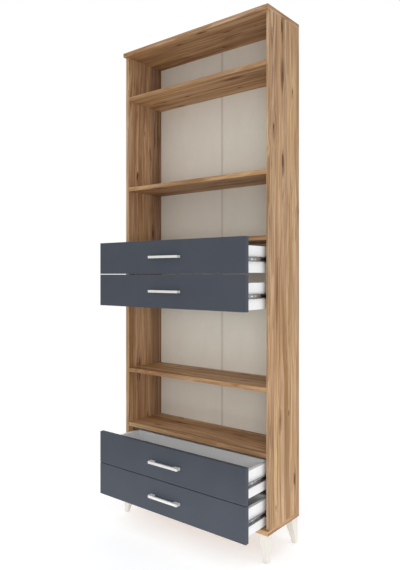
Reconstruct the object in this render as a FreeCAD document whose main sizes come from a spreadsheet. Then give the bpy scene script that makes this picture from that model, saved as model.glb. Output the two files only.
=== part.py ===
import FreeCAD, Part
import math
import os
import re
import Sketcher

# Tall bookcase with open shelves and four drawers on ball-bearing slides.
# Frame: +Z up, -Y front, origin on the floor under the middle of the whole part,
# with the drawers pulled out as far as pull_out says.

# Driving sizes, in millimetres
SIZES = {
    # case boards
    "case_width": 800,             # over the side panels
    "case_depth": 230,             # side panels, front edge to rear edge
    "board": 18,                   # thickness of the case boards
    "panel_overhang": 18,          # top and bottom panels, in front of the side panels
    "drawer_bay": 277,             # clear heights of the bays, from the floor up
    "low_bay": 240,
    "middle_bay": 580,
    "upper_bay": 242,
    "tall_bay": 411,
    "top_bay": 190,
    "shelf_back_gap": 1.5,         # shelf rear edge to back panel
    # back
    "back_board": 3,
    "back_inset": 2,               # back panel edge inside the case outline
    "strip_width": 11,             # H strip between the two back panels
    "strip_wall": 0.9,
    "strip_web": 1.2,
    "strip_fit": 0.1,
    "strip_end_gap": 1,
    # legs
    "leg_height": 112,
    "leg_top": 43,                 # square head under the bottom panel
    "leg_foot": 18,                # square foot
    "leg_inset": 4,                # outer faces inside the panel edges
    "leg_edge": 2.5,               # rounding of the four long edges
    "leg_bolt": 8,
    "leg_bolt_in_panel": 14,
    "leg_bolt_in_leg": 24,
    # board fasteners
    "joint_inset": 60,             # fasteners from the front and rear edges of the side panels
    "hole_fit": 0.1,               # radial clearance of a fastener in its hole
    "cam": 15,
    "cam_height": 12.4,
    "cam_sink": 0.3,               # cam face below the board face
    "cam_setback": 24,             # cam centre from the end of its board
    "cam_slot": 2,
    "cam_slot_depth": 2,
    "cam_play": 0.4,               # bolt head inside the cam
    "cam_wall": 3.5,               # solid back of the cam, beyond the bolt head
    "bolt_thread": 5,
    "bolt_thread_length": 11,
    "bolt_collar": 7.8,
    "bolt_collar_length": 1.5,
    "bolt_shaft": 6,
    "bolt_bore": 8,
    "bolt_neck": 4.4,
    "bolt_neck_length": 4,
    "bolt_head": 7,
    "bolt_head_length": 4,
    "confirmat_head": 10,
    "confirmat_head_height": 3.5,
    "confirmat_shank": 7,
    "confirmat_thread": 5,
    "confirmat_length": 50,
    "confirmat_socket": 4,
    "small_socket": 3,
    "socket_depth": 2.2,
    # drawer fronts
    "front_board": 18,
    "front_reveal": 3,             # front edge inside the case width
    "front_lap": 6.5,              # front over the edge of the shelf above
    "front_gap": 3,                # between the two fronts of a pair
    "front_floor_gap": 1.5,        # lowest front over the bottom panel
    "pull_out": 148,               # fronts ahead of the side panels, as shown
    "closed_gap": 1.5,             # the same with the drawer shut
    # drawer boxes
    "box_board": 15,
    "box_height": 104,
    "box_depth": 208,
    "box_lift": 4,                 # box above the lower edge of its front
    "drawer_floor": 3,
    "groove_lift": 10,
    "groove_depth": 6,
    "groove_fit": 0.1,
    "groove_end": 0.5,             # floor short of the groove's end
    "box_cam_height": 74,          # cam of the front joint, above the box's lower edge
    "box_screw_low": 30,
    "box_screw_high": 88,
    "box_screw_head": 7,
    "box_screw_head_height": 2.5,
    "box_screw": 4,
    "box_screw_length": 40,
    # slides
    "slide_space": 13,             # case wall to box side
    "slide_length": 200,
    "slide_travel": 156,
    "slide_setback": 2,            # outer rail behind the front edge of the side panel
    "rail_height": 27,
    "rail_wall": 1,
    "rail_hole": 5.5,
    "rail_hole_end": 34,           # first and last rail hole from the rail's ends
    "rail_slot": 10,
    "rail_slot_place": 63,         # slotted hole, from the rail's front end
    "rail_middle_hole": 84,        # middle rail hole, from the rail's front end
    "ball": 4.4,
    "ball_offset": 6,              # ball centre from the case wall
    "race_gap": 0.3,
    "cage_wall": 0.8,
    "cage_arm": 6.6,
    "cage_end": 1,                 # cage short of the rails' overlap at full travel
    "ball_play": 0.15,
    "lever_length": 36,
    "lever_height": 8,
    "lever_wall": 2,
    "lever_tab": 10,
    "lever_place": 124,            # lever from the front end of the inner rail
    # handle
    "handle_length": 160,
    "handle_pitch": 128,
    "handle_standoff": 22,
    "handle_bar": 8,
    "handle_height": 10,
    "handle_foot": 24,
    "handle_slope": 7,             # sloping inner side of a foot
    "handle_corner": 3,
    "handle_screw": 4,
    "handle_screw_grip": 9,        # screw inside the foot
    "handle_screw_head": 8,
    "handle_screw_head_height": 2.4,
}

# Sizes and places that follow from the driving ones
DERIVED = {
    "inner_width": "case_width - 2 * board",
    "side_height": "drawer_bay + low_bay + middle_bay + upper_bay + tall_bay + top_bay + 5 * board",
    "panel_depth": "case_depth + panel_overhang",
    "shelf_depth": "case_depth - shelf_back_gap",
    "floor_z": "leg_height + board",
    "shelf_5_z": "floor_z + drawer_bay",
    "shelf_4_z": "shelf_5_z + board + low_bay",
    "shelf_3_z": "shelf_4_z + board + middle_bay",
    "shelf_2_z": "shelf_3_z + board + upper_bay",
    "shelf_1_z": "shelf_2_z + board + tall_bay",
    "top_z": "floor_z + side_height",
    "joint_rear": "case_depth - joint_inset",
    "rear_reach": "case_depth + back_board + strip_fit + strip_wall",
    "front_reach": "pull_out + front_board + handle_standoff",
    "case_y": "(front_reach - rear_reach) / 2",
    "drawer_y": "case_y - pull_out",
    "front_width": "case_width - 2 * front_reveal",
    "front_height": "(drawer_bay + front_lap - front_gap - front_floor_gap) / 2",
    "drawer_1_z": "shelf_3_z + front_lap - front_height",
    "drawer_2_z": "drawer_1_z - front_gap - front_height",
    "drawer_3_z": "shelf_5_z + front_lap - front_height",
    "drawer_4_z": "drawer_3_z - front_gap - front_height",
    "box_width": "inner_width - 2 * slide_space",
    "box_inner_width": "box_width - 2 * box_board",
    "box_x": "(front_width - box_width) / 2",
    "groove_height": "drawer_floor + 2 * groove_fit",
    "groove_grip": "groove_depth - groove_end",
    "box_back_lift": "groove_lift + groove_height",
    "rail_lift": "box_lift + box_height / 2",
    "inner_rail_y": "drawer_y + closed_gap + slide_setback",
    "outer_rail_y": "case_y + slide_setback",
    "rail_half": "rail_height / 2",
    "race": "ball / 2 + race_gap",
    "ball_z": "rail_half - rail_wall - race",
    "flange_z": "ball_z - race",
    "cage_length": "slide_length - slide_travel - 2 * cage_end",
    "cage_x": "rail_wall + race_gap",
    "cage_low": "ball_z + race_gap",
    "cage_high": "cage_low + cage_wall",
    "cage_y": "outer_rail_y + (slide_length - cage_length) / 2 - (pull_out - closed_gap) / 2",
    "lever_x": "slide_space - rail_wall - lever_wall",
    "bolt_head_start": "cam_setback - bolt_head_length / 2",
    "bolt_hole": "bolt_thread + 2 * hole_fit",
    "bolt_hole_depth": "bolt_thread_length + hole_fit",
    "cam_hole": "cam + 2 * hole_fit",
    "cam_hole_depth": "cam_height + cam_sink + hole_fit",
    "confirmat_hole": "confirmat_thread + 2 * hole_fit",
    "confirmat_hole_depth": "confirmat_length - board + hole_fit",
    "box_screw_hole": "box_screw + 2 * hole_fit",
    "box_screw_sink": "box_screw_head + 2 * hole_fit",
    "handle_screw_hole": "handle_screw + 2 * hole_fit",
    "stud_hole": "leg_bolt + 2 * hole_fit",
    "leg_x": "case_width / 2 - leg_inset",
    "leg_front_y": "case_y - panel_overhang + leg_inset",
    "leg_rear_y": "case_y + case_depth - leg_inset",
}

# Names, from the top down
DRAWERS = ("drawer_1", "drawer_2", "drawer_3", "drawer_4")
SHELVES = ("shelf_1", "shelf_2", "shelf_3", "shelf_4", "shelf_5")
SHELVES_WITH_CAMS_BELOW = ("shelf_4", "shelf_5")   # the shelves whose upper faces are seen
BALL_STATIONS = ("1 / 6", "3 / 6", "5 / 6")   # balls of a row, as shares of the cage's length
LEFT, RIGHT, FRONT, REAR = "left", "right", "front", "rear"
BELOW, ABOVE = "below", "above"
OUTWARDS = {LEFT: "-1", RIGHT: "1", FRONT: "-1", REAR: "1", BELOW: "-1", ABOVE: "1"}
INWARDS = {LEFT: "1", RIGHT: "-1", FRONT: "1", REAR: "-1"}
X_AXIS = FreeCAD.Vector(1, 0, 0)
Y_AXIS = FreeCAD.Vector(0, 1, 0)
Z_AXIS = FreeCAD.Vector(0, 0, 1)
AS_MADE = FreeCAD.Rotation()
HALF_TURN = {axis: FreeCAD.Rotation(vector, 180) for axis, vector in zip("XYZ", (X_AXIS, Y_AXIS, Z_AXIS))}
X_TO_FRONT = FreeCAD.Rotation(Z_AXIS, -90)
X_TO_REAR = FreeCAD.Rotation(Z_AXIS, 90)
X_UP = FreeCAD.Rotation(Y_AXIS, -90)
X_DOWN = FreeCAD.Rotation(Y_AXIS, 90)
CAM_FACING = {LEFT: FreeCAD.Rotation(FreeCAD.Vector(1, 1, 1), 120),       # in the left box side
              RIGHT: FreeCAD.Rotation(FreeCAD.Vector(1, 1, -1), -120)}    # in the right box side

doc = FreeCAD.newDocument("bookcase")
sheet = doc.addObject("Spreadsheet::Sheet", "sizes")
for row, (name, number) in enumerate(SIZES.items(), 1):
    sheet.set(f"A{row}", name)
    sheet.set(f"B{row}", str(number))
    sheet.setAlias(f"B{row}", name)
doc.recompute()

nodes = []


# Helpers: expressions, sketches and features

def bind(text):
    """The expression with each size's name pointed at the sheet."""
    def point(match):
        word = match.group()
        if word in DERIVED:
            return f"({bind(DERIVED[word])})"
        return f"sizes.{word}" if word in SIZES else word
    return re.sub(r"[a-z][a-z_0-9]*", point, text)


def value(text):
    """The expression's present number."""
    return float(sheet.evalExpression(bind(text)))


def follow(thing, path, text):
    """Bind a property to the sheet, unless the text is a plain number."""
    if re.search("[a-z]", text):
        thing.setExpression(path, bind(text))


def place(thing, x, y, z):
    for axis, text in zip("xyz", (x, y, z)):
        follow(thing, f".Placement.Base.{axis}", text)


def new_body(label, x="0", y="0", z="0", is_node=True):
    body = doc.addObject("PartDesign::Body", label)
    place(body, x, y, z)
    if is_node:
        nodes.append(body)
    return body


def new_sketch(body, plane, lift="0"):
    """A sketch on one of the body's own planes, lifted along that plane's normal."""
    sketch = body.newObject("Sketcher::SketchObject", "sketch")
    origin_plane = next(part for part in body.Origin.OriginFeatures if part.Role == f"{plane}_Plane")
    sketch.AttachmentSupport = [(origin_plane, "")]
    sketch.MapMode = "FlatFace"
    follow(sketch, ".AttachmentOffset.Base.z", lift)
    return sketch


def constrain(sketch, kind, elements, text):
    index = sketch.addConstraint(Sketcher.Constraint(kind, *elements, value(text)))
    follow(sketch, f"Constraints[{index}]", text)


def locate(sketch, geometry, point, x, y):
    constrain(sketch, "DistanceX", (-1, 1, geometry, point), x)
    constrain(sketch, "DistanceY", (-1, 1, geometry, point), y)


def outline(sketch, corners, arcs=None):
    """A closed outline. arcs: corner number -> centre x, centre y, turns left, for the stretch after it."""
    arcs = arcs or {}
    spots = [FreeCAD.Vector(value(x), value(y), 0) for x, y in corners]
    stretches = []
    for number, start in enumerate(spots):
        end = spots[(number + 1) % len(spots)]
        if number in arcs:
            centre_x, centre_y, turns_left = arcs[number]
            centre = FreeCAD.Vector(value(centre_x), value(centre_y), 0)
            first, last = (start, end) if turns_left else (end, start)
            angles = [math.atan2(spot.y - centre.y, spot.x - centre.x) for spot in (first, last)]
            circle = Part.Circle(centre, Z_AXIS, (start - centre).Length)
            geometry = sketch.addGeometry(Part.ArcOfCircle(circle, *angles))
            constrain(sketch, "DistanceX", (-1, 1, geometry, 3), centre_x)
            stretches.append((geometry, 1, 2) if turns_left else (geometry, 2, 1))
        else:
            stretches.append((sketch.addGeometry(Part.LineSegment(start, end)), 1, 2))
    for number, (geometry, start_point, end_point) in enumerate(stretches):
        following = stretches[(number + 1) % len(stretches)]
        meeting = (geometry, end_point, following[0], following[1])
        sketch.addConstraint(Sketcher.Constraint("Coincident", *meeting))
        locate(sketch, geometry, start_point, *corners[number])


def rectangle(sketch, left, bottom, right, top):
    outline(sketch, [(left, bottom), (right, bottom), (right, top), (left, top)])


def rounded_square(sketch, sign_x, sign_y, width, radius):
    """A square from the origin into the quadrant that the signs give, with rounded corners."""
    near, far = radius, f"({width} - {radius})"
    corners = [(near, "0"), (far, "0"), (width, near), (width, far),
               (far, width), (near, width), ("0", far), ("0", near)]
    centres = {1: (far, near), 3: (far, far), 5: (near, far), 7: (near, near)}
    turns_left = sign_x == sign_y
    arcs = {number: (f"{sign_x} * {x}", f"{sign_y} * {y}", turns_left) for number, (x, y) in centres.items()}
    outline(sketch, [(f"{sign_x} * {x}", f"{sign_y} * {y}") for x, y in corners], arcs)


def circles(sketch, spots, diameter):
    for x, y in spots:
        circle = Part.Circle(FreeCAD.Vector(value(x), value(y), 0), Z_AXIS, value(diameter) / 2)
        geometry = sketch.addGeometry(circle)
        constrain(sketch, "Diameter", (geometry,), diameter)
        locate(sketch, geometry, 3, x, y)


def pad(body, sketch, length, backwards=False):
    """Material along the sketch's normal, or against it."""
    feature = body.newObject("PartDesign::Pad", "pad")
    feature.Profile = sketch
    feature.Reversed = backwards
    feature.setExpression("Length", bind(length))
    return feature


def cut(body, sketch, depth, along_normal):
    """A pocket along the sketch's normal, or against it."""
    feature = body.newObject("PartDesign::Pocket", "pocket")
    feature.Profile = sketch
    feature.Reversed = along_normal
    feature.setExpression("Length", bind(depth))
    return feature


def drill(body, plane, lift, spots, diameter, depth, along_normal):
    sketch = new_sketch(body, plane, lift)
    circles(sketch, spots, diameter)
    return cut(body, sketch, depth, along_normal)


def turn(body, plane, axis, profile):
    """A turned piece: the closed profile swept round one axis of its sketch."""
    sketch = new_sketch(body, plane)
    outline(sketch, profile)
    feature = body.newObject("PartDesign::Revolution", "turning")
    feature.Profile = sketch
    feature.ReferenceAxis = (sketch, [axis])
    feature.Angle = 360
    return feature


def round_edges(body, feature, wanted, radius):
    """A fillet on the feature's edges that the test picks."""
    doc.recompute()
    names = [f"Edge{number}" for number, edge in enumerate(feature.Shape.Edges, 1) if wanted(edge)]
    fillet = body.newObject("PartDesign::Fillet", "rounding")
    fillet.Base = (feature, names)
    fillet.setExpression("Radius", bind(radius))
    return fillet


def group(label, copies):
    """One node of separate solids. copies: (piece, x, y, z, rotation) of each."""
    links = []
    for piece, x, y, z, rotation in copies:
        link = doc.addObject("App::Link", f"{label}_copy")
        link.LinkedObject = piece
        link.Placement = FreeCAD.Placement(FreeCAD.Vector(), rotation)
        place(link, x, y, z)
        links.append(link)
    node = doc.addObject("Part::Compound", label)
    node.Links = links
    nodes.append(node)


# Case boards

def side_panel(label, side):
    """An upright board with bolt holes for the shelves and screw holes in both ends."""
    x = "-case_width / 2" if side == LEFT else "case_width / 2 - board"
    panel = new_body(label, x, "case_y", "floor_z")
    sketch = new_sketch(panel, "YZ")
    rectangle(sketch, "0", "0", "case_depth", "side_height")
    pad(panel, sketch, "board")
    spots = [(y, f"{name}_z + board / 2 - floor_z")
             for name in SHELVES for y in ("joint_inset", "joint_rear")]
    inner_face = "board" if side == LEFT else "0"
    drill(panel, "YZ", inner_face, spots, "bolt_hole", "bolt_hole_depth", along_normal=side == RIGHT)
    ends = [("board / 2", "joint_inset"), ("board / 2", "joint_rear")]
    drill(panel, "XY", "0", ends, "confirmat_hole", "confirmat_hole_depth", along_normal=True)
    drill(panel, "XY", "side_height", ends, "confirmat_hole", "confirmat_hole_depth", along_normal=False)


def end_panel(label, z, outer_face):
    """The top or bottom panel: it lies across the side panels and reaches out in front of them."""
    panel = new_body(label, "-case_width / 2", "case_y - panel_overhang", z)
    sketch = new_sketch(panel, "XY")
    rectangle(sketch, "0", "0", "case_width", "panel_depth")
    pad(panel, sketch, "board")
    spots = [(x, f"panel_overhang + {y}")
             for x in ("board / 2", "case_width - board / 2") for y in ("joint_inset", "joint_rear")]
    upwards = outer_face == "0"
    drill(panel, "XY", outer_face, spots, "confirmat_shank + 2 * hole_fit", "board", upwards)
    drill(panel, "XY", outer_face, spots, "confirmat_head + 2 * hole_fit", "confirmat_head_height", upwards)
    return panel


def shelf(name):
    """A fixed shelf, bored at both ends for its cams and bolts."""
    board = new_body(name, "-inner_width / 2", "case_y", f"{name}_z")
    sketch = new_sketch(board, "XY")
    rectangle(sketch, "0", "0", "inner_width", "shelf_depth")
    pad(board, sketch, "board")
    below = name in SHELVES_WITH_CAMS_BELOW
    cams = [(x, y) for x in ("cam_setback", "inner_width - cam_setback")
            for y in ("joint_inset", "joint_rear")]
    drill(board, "XY", "0" if below else "board", cams, "cam_hole", "cam_hole_depth", along_normal=below)
    bolts = [("joint_inset", "board / 2"), ("joint_rear", "board / 2")]
    drill(board, "YZ", "0", bolts, "bolt_bore", "cam_setback", along_normal=True)
    drill(board, "YZ", "inner_width", bolts, "bolt_bore", "cam_setback", along_normal=False)


def back_panel(label, side):
    """One half of the thin back, on the rear edges of the case."""
    width = "case_width / 2 - back_inset - strip_web / 2 - strip_fit"
    x = "back_inset - case_width / 2" if side == LEFT else "strip_web / 2 + strip_fit"
    panel = new_body(label, x, "case_y + case_depth", "leg_height + back_inset")
    sketch = new_sketch(panel, "XZ")
    rectangle(sketch, "0", "0", width, "side_height + 2 * board - 2 * back_inset")
    pad(panel, sketch, "back_board", backwards=True)


def joint_strip():
    """The H strip that holds the two back panels edge to edge."""
    strip = new_body("back_joint_strip", "0", "case_y + case_depth", "floor_z + strip_end_gap")
    edge, web = "strip_width / 2", "strip_web / 2"
    near, far = "-strip_fit", "back_board + strip_fit"
    right_half = [(edge, f"{near} - strip_wall"), (edge, near), (web, near),
                  (web, far), (edge, far), (edge, f"{far} + strip_wall")]
    left_half = [(f"-({x})", y) for x, y in reversed(right_half)]
    sketch = new_sketch(strip, "XY")
    outline(sketch, right_half + left_half)
    pad(strip, sketch, "side_height - 2 * strip_end_gap")


# Legs

def leg(label, side, end):
    """A square leg with upright outer faces and inner faces that taper to the foot."""
    x = f"{OUTWARDS[side]} * leg_x"
    body = new_body(label, x, f"leg_{end}_y", "0")
    sections = []
    for width, lift in (("leg_foot", "0"), ("leg_top", "leg_height")):
        sketch = new_sketch(body, "XY", lift)
        rounded_square(sketch, INWARDS[side], INWARDS[end], width, "leg_edge")
        sections.append(sketch)
    taper = body.newObject("PartDesign::AdditiveLoft", "taper")
    taper.Profile = sections[0]
    taper.Sections = sections[1:]
    taper.Ruled = True
    middle = [(f"{INWARDS[side]} * leg_top / 2", f"{INWARDS[end]} * leg_top / 2")]
    drill(body, "XY", "leg_height", middle, "stud_hole", "leg_bolt_in_leg", along_normal=False)


def leg_spots():
    """The middle of each leg's head."""
    for side in (LEFT, RIGHT):
        for end in (FRONT, REAR):
            yield f"{OUTWARDS[side]} * (leg_x - leg_top / 2)", f"leg_{end}_y + {INWARDS[end]} * leg_top / 2"


# Fasteners, each made once and then copied to its places

def cam_lock(name, bolt_depth):
    """A cam disc: cross slot in its outer face, and a mouth towards -X for the bolt head."""
    cam = new_body(name, is_node=False)
    sketch = new_sketch(cam, "XY")
    circles(sketch, [("0", "0")], "cam")
    pad(cam, sketch, "cam_height")
    mouth = new_sketch(cam, "XY")
    half = "bolt_head / 2 + cam_play"
    rectangle(mouth, "-cam", f"-({half})", "cam / 2 - cam_wall", half)
    cut(cam, mouth, f"cam_height + cam_sink - ({bolt_depth}) + {half}", along_normal=True)
    slot = new_sketch(cam, "XY", "cam_height")
    arm, wide = "cam / 3", "cam_slot / 2"
    quarter = [(arm, f"-{wide}"), (arm, wide), (wide, wide)]
    corners = []
    for _ in range(4):
        corners += quarter
        quarter = [(f"-({y})", x) for x, y in quarter]
    outline(slot, corners)
    cut(cam, slot, "cam_slot_depth", along_normal=False)
    return cam


def cam_bolt():
    """The bolt of a cam joint: thread towards -X, head towards +X, collar on the board's face."""
    bolt = new_body("cam_bolt", is_node=False)
    steps = (("-bolt_thread_length", "bolt_thread"), ("0", "bolt_collar"),
             ("bolt_collar_length", "bolt_shaft"), ("bolt_head_start - bolt_neck_length", "bolt_neck"),
             ("bolt_head_start", "bolt_head"))
    profile = stepped_profile(steps, "bolt_head_start + bolt_head_length")
    turn(bolt, "XZ", "H_Axis", profile)
    return bolt


def stepped_profile(steps, end):
    """Half the section of a stepped round bar: (start, diameter) of each step, and the end."""
    profile = [(steps[0][0], "0")]
    ends = [start for start, _ in steps[1:]] + [end]
    for (start, diameter), stop in zip(steps, ends):
        profile += [(start, f"{diameter} / 2"), (stop, f"{diameter} / 2")]
    return profile + [(end, "0")]


def screw(name, steps, length, socket):
    """A screw along +X from its head's outer face, with a hexagon socket in the head."""
    body = new_body(name, is_node=False)
    turn(body, "XZ", "H_Axis", stepped_profile(steps, length))
    sketch = new_sketch(body, "YZ")
    outline(sketch, [(f"{socket} / 2 * cos({60 * k})", f"{socket} / 2 * sin({60 * k})") for k in range(6)])
    cut(body, sketch, "socket_depth", along_normal=True)
    return body


# Slides

def rail(name, corners, arcs, web_face, web_lift):
    """A rolled steel rail along +Y, with round and slotted holes in its web."""
    body = new_body(name, is_node=False)
    section = new_sketch(body, "XZ")
    outline(section, corners, arcs)
    pad(body, section, "slide_length", backwards=True)
    along = ("rail_hole_end", "rail_middle_hole", "slide_length - rail_hole_end")
    holes = [(y, "0") for y in along]
    drill(body, "YZ", web_lift, holes, "rail_hole", "rail_wall", along_normal=web_face)
    slot = new_sketch(body, "YZ", web_lift)
    start, end, half = "rail_slot_place - rail_slot / 2", "rail_slot_place + rail_slot / 2", "rail_hole / 2"
    outline(slot, [(start, f"-{half}"), (end, f"-{half}"), (end, half), (start, half)],
            {1: (end, "0", True), 3: (start, "0", True)})
    cut(body, slot, "rail_wall", along_normal=web_face)
    return body


def outer_rail():
    """The rail on the case wall: its flanges curl round the far side of the ball rows."""
    lip = "ball_offset + race"
    corners = [("0", "-rail_half"), ("ball_offset", "-rail_half"),
               (f"{lip} + rail_wall", "-ball_z"), (lip, "-ball_z"),
               ("ball_offset", "rail_wall - rail_half"), ("rail_wall", "rail_wall - rail_half"),
               ("rail_wall", "rail_half - rail_wall"), ("ball_offset", "rail_half - rail_wall"),
               (lip, "ball_z"), (f"{lip} + rail_wall", "ball_z"),
               ("ball_offset", "rail_half"), ("0", "rail_half")]
    arcs = {1: ("ball_offset", "-ball_z", True), 3: ("ball_offset", "-ball_z", False),
            7: ("ball_offset", "ball_z", False), 9: ("ball_offset", "ball_z", True)}
    return rail("outer_rail", corners, arcs, web_face=True, web_lift="0")


def inner_rail():
    """The rail on the drawer side: its flanges curl round the near side of the ball rows."""
    lip = "ball_offset - race"
    corners = [("slide_space", "-flange_z"), ("slide_space", "flange_z"), ("ball_offset", "flange_z"),
               (lip, "ball_z"), (f"{lip} - rail_wall", "ball_z"), ("ball_offset", "flange_z - rail_wall"),
               ("slide_space - rail_wall", "flange_z - rail_wall"),
               ("slide_space - rail_wall", "rail_wall - flange_z"), ("ball_offset", "rail_wall - flange_z"),
               (f"{lip} - rail_wall", "-ball_z"), (lip, "-ball_z"), ("ball_offset", "-flange_z")]
    arcs = {2: ("ball_offset", "ball_z", False), 4: ("ball_offset", "ball_z", True),
            8: ("ball_offset", "-ball_z", True), 10: ("ball_offset", "-ball_z", False)}
    return rail("inner_rail", corners, arcs, web_face=False, web_lift="slide_space")


def ball_cage():
    """A bent strip between the rails, notched for the balls of both rows."""
    cage = new_body("ball_cage", is_node=False)
    reach = "cage_x + cage_arm"
    upper = [("cage_x + cage_wall", "cage_low"), (reach, "cage_low"),
             (reach, "cage_high"), ("cage_x", "cage_high")]
    lower = [(x, f"-({y})") for x, y in reversed(upper)]
    section = new_sketch(cage, "XZ")
    outline(section, upper + lower)
    pad(cage, section, "cage_length", backwards=True)
    notches = [("ball_offset", f"cage_length * {station}") for station in BALL_STATIONS]
    drill(cage, "XY", "rail_half", notches, "ball + 2 * ball_play", "rail_height", along_normal=False)
    return cage


def ball():
    sphere = doc.addObject("Part::Sphere", "ball")
    sphere.setExpression("Radius", bind("ball / 2"))
    return sphere


def release_lever():
    """A plastic lever on the inner rail's web, with a finger tab bent down at its front end."""
    lever = new_body("release_lever", is_node=False)
    sketch = new_sketch(lever, "YZ", "lever_x")
    half = "lever_height / 2"
    outline(sketch, [("0", f"-{half}"), ("lever_tab", f"-{half}"), ("lever_tab + lever_height / 4", "0"),
                     ("lever_length", "0"), ("lever_length", half), ("lever_height / 4", half), ("0", "0")])
    pad(lever, sketch, "lever_wall")
    return lever


# Drawers

def drawer_front(name, z):
    """The overlay front: groove for the drawer floor, holes for the handle and the two cam bolts."""
    front = new_body(f"{name}_front", "-front_width / 2", "drawer_y", z)
    sketch = new_sketch(front, "XZ")
    rectangle(sketch, "0", "0", "front_width", "front_height")
    pad(front, sketch, "front_board")
    groove = new_sketch(front, "XZ")
    start = "box_x + box_board - groove_depth"
    bottom = "box_lift + groove_lift"
    rectangle(groove, start, bottom, f"front_width - ({start})", f"{bottom} + groove_height")
    cut(front, groove, "groove_depth", along_normal=True)
    handle = [(f"front_width / 2 + {OUTWARDS[side]} * handle_pitch / 2", "front_height / 2")
              for side in (LEFT, RIGHT)]
    drill(front, "XZ", "0", handle, "handle_screw_hole", "front_board", along_normal=True)
    bolt_x = "box_x + box_board / 2"
    bolts = [(x, "box_lift + box_cam_height") for x in (bolt_x, f"front_width - ({bolt_x})")]
    drill(front, "XZ", "0", bolts, "bolt_hole", "bolt_hole_depth", along_normal=True)


def drawer_side(name, z, side):
    """A box side: floor groove and cam bore inside, bolt bore in its front end, screw holes at its rear."""
    x = "-box_width / 2" if side == LEFT else "box_width / 2 - box_board"
    board = new_body(f"{name}_{side}_side", x, "drawer_y", f"{z} + box_lift")
    sketch = new_sketch(board, "YZ")
    rectangle(sketch, "0", "0", "box_depth", "box_height")
    pad(board, sketch, "box_board")
    inner, outer = ("box_board", "0") if side == LEFT else ("0", "box_board")
    from_inside = side == RIGHT
    groove = new_sketch(board, "YZ", inner)
    rectangle(groove, "0", "groove_lift", "box_depth", "groove_lift + groove_height")
    cut(board, groove, "groove_depth", from_inside)
    cam = [("cam_setback", "box_cam_height")]
    drill(board, "YZ", inner, cam, "cam_hole", "cam_hole_depth", from_inside)
    bolt = [("box_board / 2", "box_cam_height")]
    drill(board, "XZ", "0", bolt, "bolt_bore", "cam_setback", along_normal=False)
    screws = [("box_depth - box_board / 2", height) for height in ("box_screw_low", "box_screw_high")]
    drill(board, "YZ", outer, screws, "box_screw_hole", "box_board", not from_inside)
    drill(board, "YZ", outer, screws, "box_screw_sink", "box_screw_head_height", not from_inside)


def drawer_back(name, z):
    """The box back, between the sides and on the drawer floor."""
    back = new_body(f"{name}_back", "-box_inner_width / 2", "drawer_y + box_depth - box_board",
                    f"{z} + box_lift + box_back_lift")
    sketch = new_sketch(back, "XZ")
    rectangle(sketch, "0", "0", "box_inner_width", "box_height - box_back_lift")
    pad(back, sketch, "box_board", backwards=True)
    heights = ("box_screw_low", "box_screw_high")
    screws = [("box_board / 2", f"{height} - box_back_lift") for height in heights]
    depth = "box_screw_length - box_board + hole_fit"
    drill(back, "YZ", "0", screws, "box_screw_hole", depth, along_normal=True)
    drill(back, "YZ", "box_inner_width", screws, "box_screw_hole", depth, along_normal=False)


def drawer_bottom(name, z):
    """The thin drawer floor, in the grooves of the front and the sides."""
    floor = new_body(f"{name}_bottom", "-box_inner_width / 2 - groove_grip", "drawer_y - groove_grip",
                     f"{z} + box_lift + groove_lift + groove_fit")
    sketch = new_sketch(floor, "XY")
    rectangle(sketch, "0", "0", "box_inner_width + 2 * groove_grip", "box_depth + groove_grip")
    pad(floor, sketch, "drawer_floor")


def drawer_handle(name, z):
    """A bow handle: flat bar on two long feet whose inner sides slope."""
    handle_z = f"{z} + front_height / 2 - handle_height / 2"
    handle = new_body(f"{name}_handle", "0", "drawer_y - front_board", handle_z)
    end = "handle_length / 2"
    foot = f"({end} - handle_foot)"
    bar = f"({foot} - handle_slope)"
    inside = "handle_bar - handle_standoff"
    sketch = new_sketch(handle, "XY")
    outline(sketch, [(f"-{end}", "0"), (f"-{end}", "-handle_standoff"), (end, "-handle_standoff"), (end, "0"),
                     (foot, "0"), (bar, inside), (f"-{bar}", inside), (f"-{foot}", "0")])
    solid = pad(handle, sketch, "handle_height")
    holes = [(f"{OUTWARDS[side]} * handle_pitch / 2", "handle_height / 2") for side in (LEFT, RIGHT)]
    upright = value("handle_height") / 2
    clear = value("handle_corner") / 2
    round_edges(handle, solid, lambda edge: edge.BoundBox.ZLength > upright and edge.BoundBox.YMax < -clear,
                "handle_corner")
    drill(handle, "XZ", "0", holes, "handle_screw_hole", "handle_screw_grip + hole_fit", along_normal=True)


def drawer_fasteners(name, z, pieces):
    """Handle screws, screws into the box back, and the cam joints between the sides and the front."""
    handle_y, handle_z = "drawer_y + handle_screw_head_height", f"{z} + front_height / 2"
    joint_z = f"{z} + box_lift + box_cam_height"
    rear_y = "drawer_y + box_depth - box_board / 2"
    copies = []
    for side in (LEFT, RIGHT):
        sign = OUTWARDS[side]
        copies.append((pieces["handle_screw"], f"{sign} * handle_pitch / 2", handle_y, handle_z, X_TO_FRONT))
        inwards = AS_MADE if side == LEFT else HALF_TURN["Z"]
        for height in ("box_screw_low", "box_screw_high"):
            screw_z = f"{z} + box_lift + {height}"
            copies.append((pieces["box_screw"], f"{sign} * box_width / 2", rear_y, screw_z, inwards))
        middle = f"{sign} * (box_width - box_board) / 2"
        copies.append((pieces["cam_bolt"], middle, "drawer_y", joint_z, X_TO_REAR))
        cam_end = f"{sign} * (box_width / 2 - box_board + cam_sink + cam_height)"
        copies.append((pieces["box_cam"], cam_end, "drawer_y + cam_setback", joint_z, CAM_FACING[side]))
    group(f"{name}_fasteners", copies)


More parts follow.
